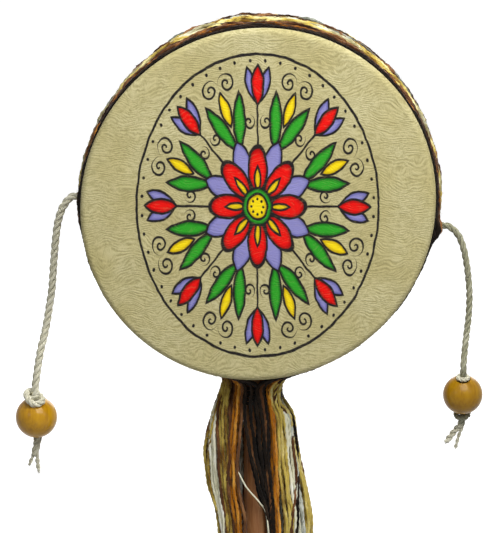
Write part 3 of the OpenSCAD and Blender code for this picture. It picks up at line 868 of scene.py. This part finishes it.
def make_head(name, node, way, finish):
    flat_r, under = HEAD_R - EDGE_ROLL, FACE_Y - SKIN + 0.03
    profile = [(r, FACE_Y) for r in np.concatenate([[0.0, 1.5], np.linspace(4, flat_r, 24)])]
    profile += arc((flat_r, FACE_Y - EDGE_ROLL), EDGE_ROLL, 80, -38, 13)
    profile += [(WAIST_R, h) for h in np.linspace(FACE_Y - 3.6, SKIRT_Y + 0.5, 8)]
    profile += arc(((WAIST_R + SHELL_R) / 2, SKIRT_Y + 0.3), (WAIST_R - SHELL_R) / 2 - 0.02, 0, -180, 5)
    profile += [(SHELL_R + 0.03, h) for h in (SKIRT_Y + 3, FACE_Y - EDGE_ROLL)]
    profile += [(r, under) for r in (flat_r, 30, 0)]
    piece = turned(name, profile, (0, 0, DRUM_Z), (0, way, 0), (1, 0, 0), 216)
    mesh = piece.data
    co = np.empty(len(mesh.vertices) * 3, np.float32)
    mesh.vertices.foreach_get("co", co)
    co = co.reshape(-1, 3) / MM
    x, y, z = co[:, 0], co[:, 1], co[:, 2] - DRUM_Z
    far, turn = np.hypot(x, z), np.arctan2(z, x)
    dip = 0.10 * np.sin(x / 9 + 1.3) * np.cos(z / 11) + 0.06 * np.sin((x + 2 * z) / 6.5) - 0.12
    outer = (np.abs(y) > FACE_Y - 0.6) & (far < flat_r)
    y += np.where(outer, way * dip * np.clip((flat_r - far) / 8, 0, 1), 0)
    ruck = 0.10 * np.sin(turn * 23 + 2 * np.sin(turn * 3)) + 0.06 * np.sin(turn * 61 + 1)
    skirt = (far > WAIST_R - 0.1) & (np.abs(y) < FACE_Y - 3.4)
    grow = np.where(skirt, 1 + ruck / HEAD_R * np.clip((FACE_Y - 3.4 - np.abs(y)) / 3, 0, 1), 1)
    co = ovalised(np.column_stack([x * grow, y, z * grow + DRUM_Z]))
    mesh.vertices.foreach_set("co", (co * MM).astype(np.float32).ravel())
    mesh.update()
    return dress(piece, finish, "drum", [node])


make_head("front_skin", "front_head", -1, make_skin("printed skin", True))
make_head("back_skin", "back_head", 1, make_skin("bare skin", False))


# How thick the yarn lies on the rim, in millimetres, by degrees from the right side over the top
BULK_DEG = (-30, -18, -8, 0, 10, 22, 33, 42, 60, 75, 90, 105, 120, 133, 150, 165, 175, 184, 194)
BULK = (0, 0.2, 0.7, 1.1, 0.9, 0.6, 0.5, 0.6, 0.8, 1.2, 1.4, 1.5, 1.3, 1.1, 0.8, 0.9, 1.2, 0.8, 0)


def pressed(deg):
    """How far the yarn is pressed flat: not at all above, and most on the lower half."""
    return np.clip((-12 - deg) / 14, 0, 1) + np.clip((deg - 183) / 9, 0, 1)


# Bindings: a dark cord laid round behind each head's edge

def make_binding(name, node, y):
    n = 900
    a = np.arange(n) / n * 2 * math.pi
    deg = (np.degrees(a) + 90) % 360 - 90
    r = WAIST_R + BINDING_D / 2 + 0.05 + 0.05 * np.sin(a * 31) - 0.3 * pressed(deg)
    tubes = Tubes()
    rope(tubes, round_hoop(a, r, np.full(n, y)), BINDING_D, 3.2, plies=2, sides=7, closed=True)
    dress(tubes.piece(name), DARK_CORD, "drum", [node])


make_binding("front_dark_cord", "front_binding", -BINDING_Y)
make_binding("back_dark_cord", "back_binding", BINDING_Y)


# Yarn: laid round the rim, gathered below it, and hanging as a tassel

RIM_R = 62.0
RIM_STEP = 0.75
STRAND_R = 0.66
STRAND_SEAT = 0.42
# Hairs on each millimetre of a strand
FUZZ = 0.4
NECK_Z = 111.0
TIP_Z = 29.5
LEVELS = np.array([118.0, 105.0, 92.0, 80.0, 68.0, 50.0])
LEFT_EDGE = np.array([12.7, 16.6, 19.4, 18.4, 14.9, 13.8])
RIGHT_EDGE = np.array([8.6, 11.4, 13.7, 16.0, 18.2, 18.6])
FRONT_DEPTH = np.array([10.2, 9.8, 9.4, 9.4, 9.6, 10.0])

# Where each lock's ends hang in front of the handle, in millimetres across at each level
LEFT_FRONT = {
    0: [(-5.3, -4.4, -2.6, 0.5, 3.9, 4.3), (-3.2, -2.2, -0.8, 1.8, 4.3, 4.6),
        (-1.2, -0.4, 0.8, 2.9, 4.8, 5.0)],
    1: [(-8.2, -8.8, -9.6, -9.8, -8.0, -7.2), (-7.2, -7.6, -8.6, -8.6, -6.8, -6.0)],
    2: [(-12.2, -14.7, -14.2, -13.2, -11.6, -11.0), (-9.6, -10.2, -10.4, -10.5, -9.0, -8.5),
        (-6.2, -6.1, -7.0, -7.0, -4.9, -4.5)],
    3: [(-10.6, -11.4, -11.1, -11.0, -9.9, -9.3), (-11.3, -12.5, -12.0, -11.6, -10.7, -10.0),
        (-11.9, -13.5, -13.0, -12.3, -11.2, -10.6)],
    4: [(-11.0, -15.0, -15.4, -14.2, -12.3, -11.6), (-11.3, -15.6, -16.2, -15.0, -12.8, -12.0),
        (-11.6, -16.1, -17.0, -15.9, -13.2, -12.5)],
    5: [(-12.3, -15.6, -18.0, -17.1, -13.9, -13.2), (-12.5, -16.0, -18.8, -17.9, -14.3, -13.6)],
}
RIGHT_FRONT = {
    0: [(0.8, 1.6, 2.4, 3.9, 5.2, 5.3), (2.6, 3.0, 3.6, 4.5, 5.5, 5.6), (7.0, 11.3, 13.5, 13.8, 13.4, 13.2)],
    1: [(4.4, 4.9, 5.3, 5.8, 6.5, 6.8), (4.8, 5.6, 6.1, 6.7, 7.5, 7.8)],
    2: [(1.7, 2.3, 2.9, 3.5, 4.8, 5.0), (7.0, 10.6, 12.5, 12.9, 12.0, 12.0)],
    3: [(5.4, 6.6, 7.3, 8.3, 9.6, 10.2), (6.6, 7.6, 8.5, 9.6, 10.8, 11.6), (7.7, 8.6, 9.6, 10.6, 12.0, 12.8)],
    4: [(6.4, 9.2, 10.4, 11.4, 12.9, 13.4), (6.9, 9.8, 11.4, 12.4, 14.2, 14.6)],
    5: [(8.3, 10.9, 12.9, 15.9, 17.9, 18.2), (7.9, 10.5, 12.6, 15.2, 17.2, 17.6)],
    7: [(6.6, 10.3, 12.0, 13.2, 15.2, 16.0), (6.9, 10.7, 12.4, 14.0, 16.0, 16.6)],
}


def slow_waves(count, length, sizes):
    """Smooth random wandering along a strand: sizes are (period, height) in millimetres."""
    s = np.linspace(0, length, count)
    return sum(h * np.sin(2 * math.pi * s / p + rng.uniform(0, 6.3)) for p, h in sizes)


def near_cord(deg, at, width):
    return np.exp(-((deg - at) / width) ** 2)


def rim_line(k, which):
    """Strand which of lock k on the rim, from the right end over the top to the left end."""
    length = math.radians(360 - 2 * LEAVE_DEG) * RIM_R
    n = int(length / RIM_STEP)
    deg = np.linspace(LEAVE_DEG - 90, 270 - LEAVE_DEG, n)
    rank = k - 6 if k > 5 else 5 - k
    side = 1 if k > 5 else -1
    y = LOCK_PITCH * (k - 5.5) * np.ones(n)
    for at in (RIGHT_EXIT, LEFT_EXIT):
        y += side * near_cord(deg, at, 4.5) * (2.0 - rank * 0.4)
    turn = 2 * math.pi * which / 3 + slow_waves(n, length, [(150, 1.6), (67, 1.3), (31, 0.9), (17, 0.5)])
    away = 1 - near_cord(deg, RIGHT_EXIT, 6) - near_cord(deg, LEFT_EXIT, 6)
    y += 0.9 * np.cos(turn) + away * slow_waves(n, length, [(90, 0.6), (38, 0.6), (21, 0.5)])
    bulk = np.interp(deg, BULK_DEG, BULK) * (1, 1, 1, 0.6, 0.35, 0.15)[rank]
    r = WAIST_R + STRAND_SEAT + bulk + 0.1 + np.minimum(0.5, 0.15 + bulk) * np.sin(turn)
    r += (0.25 + bulk) * slow_waves(n, length, [(45, 0.16), (23, 0.2), (12, 0.16)])
    dark = COLOURS[k] in ("black", "brown") and k < 6
    r += (near_cord(deg, RIGHT_EXIT, 3.4) * (0.9 + 0.75 * which if dark else 0.6)
          + near_cord(deg, LEFT_EXIT, 3.0) * 0.3)
    a = np.radians(deg)
    r = np.maximum(r, WAIST_R + STRAND_SEAT)
    y = np.clip(y, -BINDING_Y + BINDING_D / 2 + 0.45, BINDING_Y - BINDING_D / 2 - 0.45)
    flat = pressed(deg) * np.clip((165 - np.abs(deg - 90)) / 12, 0, 1)
    # The last value is largest at the top of the rim, where cream and grey yarn get painted light.
    return round_hoop(a, r, y), 1 - 0.3 * flat, np.exp(-((deg - 90) / 50) ** 2)


def hang_points(side, k, which, inner):
    """Points of a hanging end below the rim: in front by its own list, and otherwise round the back."""
    edge = LEFT_EDGE if side < 0 else RIGHT_EDGE
    lists = (LEFT_FRONT if side < 0 else RIGHT_FRONT).get(k, [])
    if which < len(lists) and not (inner and k > 5):
        loose = 0.15 if not inner else 0.3 if COLOURS[k] == "orange" else 0.7
        x = np.array(lists[which]) + rng.uniform(-1, 1) * loose
        y = -FRONT_DEPTH * np.sqrt(1 - np.clip(x / edge, -0.995, 0.995) ** 2)
        if inner:
            x, y = x * 0.94, y * 0.86
    elif inner:
        share = ((k % 6) * 3 + which + 0.5) / 18
        x = side * (4.8 + (edge - 6.0) * share ** 1.3)
        y = np.full(6, 6.5 - 5 * share) + rng.uniform(-0.8, 0.8)
    else:
        fan = math.radians(max(12, (k - 5.5) * 15 + (which - 1) * 5) if k > 5 else 6 + 74 * rng.random())
        x, y = side * edge * math.cos(fan), FRONT_DEPTH * math.sin(fan)
    y = y + rng.uniform(-0.4, 0.4)
    over = 9.9 if inner else 10.3
    at_neck = math.copysign(math.sqrt(max(0.0, over ** 2 - x[0] ** 2)), y[0])
    at_neck = (at_neck if at_neck else y[0]) * (0.55 if COLOURS[k] in ("cream", "grey") else 1)
    waist = (x[0] + x[1]) / 2 if side < 0 else x[0] * 0.88
    points = [(x[0], at_neck, LEVELS[0]), (waist, at_neck, NECK_Z)]
    points += [(x[i], y[i], LEVELS[i]) for i in range(1, 6)]
    tip = TIP_Z + rng.uniform(0, 9)
    points.append((x[5] * rng.uniform(0.96, 1.04), y[5] * rng.uniform(0.95, 1.02), tip))
    return np.array(points)


def hang_line(side, k, which, start, inner):
    points = hang_points(side, k, which, inner)
    line = through(np.vstack([start[-2:], points]), RIM_STEP)
    line = line[nearest(line, start[-1]) + 1:]
    n = len(line)
    calm = np.clip((119 - line[:, 2]) / 16, 0, 1)
    line[:, 0] += calm * slow_waves(n, n * RIM_STEP, [(34, 0.22), (13, 0.14)])
    line[:, 1] += calm * slow_waves(n, n * RIM_STEP, [(29, 0.30), (11, 0.12)])
    far = np.hypot(line[:, 0], line[:, 1])
    least = STICK_R + STRAND_R + 0.15
    push = np.where((far < least) & (line[:, 2] < 121), least / np.maximum(far, 0.5), 1.0)
    line[:, :2] *= push[:, None]
    return line


def thin_ends(n, radius):
    """Thins a strand over its last few points."""
    return radius * np.clip(np.minimum(np.arange(n), np.arange(n)[::-1]) / 7, 0.45, 1)


def patchy(line):
    """Lighter and darker stretches along a strand, most of all on the rim."""
    n, length = len(line), lengths(line)[-1]
    size = np.where(line[:, 2] > 120, 0.3, 0.14)
    return np.clip(size * slow_waves(n, length, [(26, 1), (15, 1), (7, 0.6)]), -0.6, 0.6)


def add_yarn(tubes, line, radius, tint):
    """One soft two-ply strand and the fuzz on it."""
    n = len(line)
    s = lengths(line)
    swell = 1 + 0.10 * slow_waves(n, s[-1], [(23, 0.6), (9, 0.4)])
    tubes.add(line, thin_ends(n, radius) * swell, 8, tint + patchy(line), lobes=2, depth=0.17,
              turn=s / 5.2 * 2 * math.pi, basis=side_frame(line))
    count = int(s[-1] * FUZZ)
    pick = rng.integers(2, n - 2, count)
    tint = np.broadcast_to(np.asarray(tint, float), (n,))[pick]
    t, u, v = side_frame(line)
    a = rng.uniform(0, 2 * math.pi, count)
    outward = np.cos(a)[:, None] * u[pick] + np.sin(a)[:, None] * v[pick]
    way = unit(outward * rng.uniform(0.35, 1.0, (count, 1)) + t[pick] * rng.normal(scale=0.8, size=(count, 1)))
    roots = line[pick] + outward * radius[pick, None] * 0.85
    tubes.add_hairs(roots, way, rng.uniform(0.5, 1.8, count), tint + 0.12)


def side_frame(line):
    """Tangents and side directions held to the Y axis."""
    t = unit(np.gradient(line, axis=0))
    u = unit(np.array([0.0, 1.0, 0.0]) - t * t[:, 1:2])
    return t, u, np.cross(t, u)


def make_yarns():
    made = {c: Tubes() for c in YARN_FINISH}
    for k, colour in enumerate(COLOURS):
        for which in range(3):
            rim, squeeze, high = rim_line(k, which)
            right = hang_line(1, k, which, rim[::-1], False)
            left = hang_line(-1, k, which, rim, False)
            tint = np.full(len(right) + len(rim) + len(left), rng.uniform(0.25, 0.75))
            thick = np.full(len(tint), STRAND_R)
            on_rim = slice(len(right), len(right) + len(rim))
            if colour == "orange":
                tint[on_rim] -= 0.75
            # Cream and grey are darker on the rim and lighter towards its top: the lighter top is painted
            # light from above.
            if colour in ("cream", "grey"):
                tint[on_rim] -= 0.85 - 0.4 * high
            if colour == "gold":
                tint[:len(right)] += np.linspace(-0.25, 0.2, len(right))
                tint[-len(left):] -= 0.35
            thick[on_rim] *= squeeze
            add_yarn(made[colour], np.vstack([right[::-1], rim, left]), thick, tint)
            for side, start in ((1, rim[::-1]), (-1, rim)):
                inner = hang_line(side, k, which, start, True)
                add_yarn(made[colour], inner, np.full(len(inner), STRAND_R * 0.92), rng.uniform(0, 0.55))
    # One thin pale thread that lies loose over the handle
    thread = through([(-7.6, -8.2, 88.6), (-6.9, -9.2, 86.2), (-4.2, -9.4, 81), (0.4, -9.4, 75.5),
                      (2.6, -9.6, 72), (3.6, -9.9, 64), (3.9, -9.9, 54), (4.4, -9.8, 42)], 0.6)
    made["cream"].add(thread, thin_ends(len(thread), 0.3), 6, 0.5, basis=side_frame(thread))
    for colour, tubes in made.items():
        yarn = colour + "_yarn"
        dress(tubes.piece(colour + "_strands"), YARN_FINISH[colour], "drum", [yarn])


make_yarns()


# Inner yarn under the strands, as one ribbed band that is open at the handle

def make_inner_yarn():
    tubes = Tubes()
    deg = np.linspace(LEAVE_DEG - 89, 269 - LEAVE_DEG, 240)
    a = np.radians(deg)
    for y in np.arange(-8.6, 8.7, 1.72):
        spread = (near_cord(deg, RIGHT_EXIT, 4) + near_cord(deg, LEFT_EXIT, 4)) * max(0, 2.4 - abs(y))
        line = round_hoop(a, WAIST_R, y + (spread if y > 0 else -spread))
        tubes.add(line, 0.8, 6, rng.uniform(0, 0.6), basis=side_frame(line))
    dress(tubes.piece("inner_yarn"), YARN_FINISH["gold"], "drum", ["yarn_core"])


make_inner_yarn()


# Tie round the neck: close turns of dark cord

def make_tie():
    turns, pitch = 5, 1.28
    a = np.linspace(-0.25, turns * 2 * math.pi + 0.25, turns * 60)
    z = TIE_Z + (a / (2 * math.pi) - turns / 2) * pitch
    ring = TIE_RING - 1.1 * np.clip(np.cos(a), 0, 1) ** 2
    line = np.column_stack([ring * np.cos(a), ring * np.sin(a), z])
    line[:6, :2] *= np.linspace(0.9, 1, 6)[:, None]
    line[-6:, :2] *= np.linspace(1, 0.9, 6)[:, None]
    tubes = Tubes()
    rope(tubes, line, 1.4, 3.4, plies=2, sides=7)
    dress(tubes.piece("neck_tie"), DARK_CORD, "drum", ["tassel_tie"])


make_tie()


# Handle: a turned stick with a thicker grip and a rounded butt

def make_handle():
    profile = [(0.0, -32.0), (1.2, -31.95)]
    profile += [(6.3 * math.cos(a), -28.2 + 3.8 * math.sin(a)) for a in np.radians(np.linspace(-72, -6, 12))]
    profile += [(GRIP_R, h) for h in np.linspace(-27.4, 27.2, 12)]
    profile += arc((6.0, 27.4), 0.5, 20, 80, 4) + [(5.95, 28.2), (5.75, 29.6), (5.52, 30.5)]
    profile += [(STICK_R, h) for h in np.linspace(33, 234.2, 26)] + [(5.2, 235.1), (0.0, 235.2)]
    piece = turned("turned_handle", profile, (0, 0, 0), (0, 0, 1), (1, 0, 0), 64)
    wood = make_wood("dark stained wood", ((102, 62, 36), (166, 112, 70), (194, 144, 98)),
                     (0, 0, 0), 700.0, 0.5, (0, 0, 0), 0.15)
    dress(piece, wood, "drum", ["handle"])


make_handle()

# The shell and the nail keep their solids
SHELL_WOOD = make_wood("plain shell wood", ((150, 116, 76), (186, 150, 104), (206, 174, 128)),
                       (math.pi / 2, 0, 0), 300.0, 0.6, (0, 0, DRUM_Z * MM))
for node, finish in (("shell", SHELL_WOOD), ("handle_nail", make_steel("bare steel"))):
    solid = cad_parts[node]
    solid.data.materials.clear()
    solid.data.materials.append(finish)


# Stage and light

def seen_rays(s):
    """One for the rays that see the pale background, straight or in a reflection."""
    path = s.put("ShaderNodeLightPath").outputs
    return s.most(path["Is Camera Ray"], s.most(path["Is Glossy Ray"], path["Is Transmission Ray"]))


# Place, size and power of each lamp
LAMPS = {
    "key": ((0.12, -0.33, 0.56), 0.38, 3.5),
    "left": ((-0.55, -0.62, 0.42), 0.2, 0.34),
    "right": ((0.6, -0.5, 0.48), 0.2, 0.3),
    "top": ((0.04, -0.08, 0.75), 0.3, 0.9),
    "rear": ((0.1, 0.9, 0.55), 0.8, 6.0),
}
LIT_PLACE = Vector((0, 0, 0.15))
FLOOR_Z = -0.0335
WHITE = (1, 1, 1, 1)


def make_stage():
    clear_selection()
    bpy.ops.mesh.primitive_circle_add(vertices=96, radius=8, fill_type="NGON", location=(0, 0, FLOOR_Z))
    floor = bpy.context.object
    floor.name = "floor"
    bpy.ops.object.transform_apply(location=True, rotation=True, scale=True)
    made, s, bsdf = new_finish("pale floor")
    s.fill(bsdf, {"Base Color": (0.36, 0.36, 0.36, 1), "Roughness": 0.9})
    glow = s.fill(s.put("ShaderNodeEmission"), {"Color": WHITE, "Strength": s.times(seen_rays(s), 0.95)})[0]
    both = s.row(s.put("ShaderNodeAddShader"), bsdf.outputs[0], glow)[0]
    s.fill(s.tree.nodes["Material Output"], {"Surface": both})
    floor.data.materials.append(made)
    world = bpy.data.worlds.new("studio")
    bpy.context.scene.world = world
    world.use_nodes = True
    s = Sheet(world.node_tree)
    height = s.split(s.put("ShaderNodeTexCoord").outputs["Generated"])[2]
    s.fill(s.tree.nodes["Background"], {
        "Color": WHITE, "Strength": s.most(seen_rays(s), s.ramp(height, -0.3, 0.7, 0.03, 0.14))})
    for label, (place, size, power) in LAMPS.items():
        data = bpy.data.lights.new(label, "AREA")
        data.size, data.energy = size, power
        stand(label, data, place, LIT_PLACE - Vector(place))
    bpy.context.scene.view_settings.view_transform = "Standard"


make_stage()
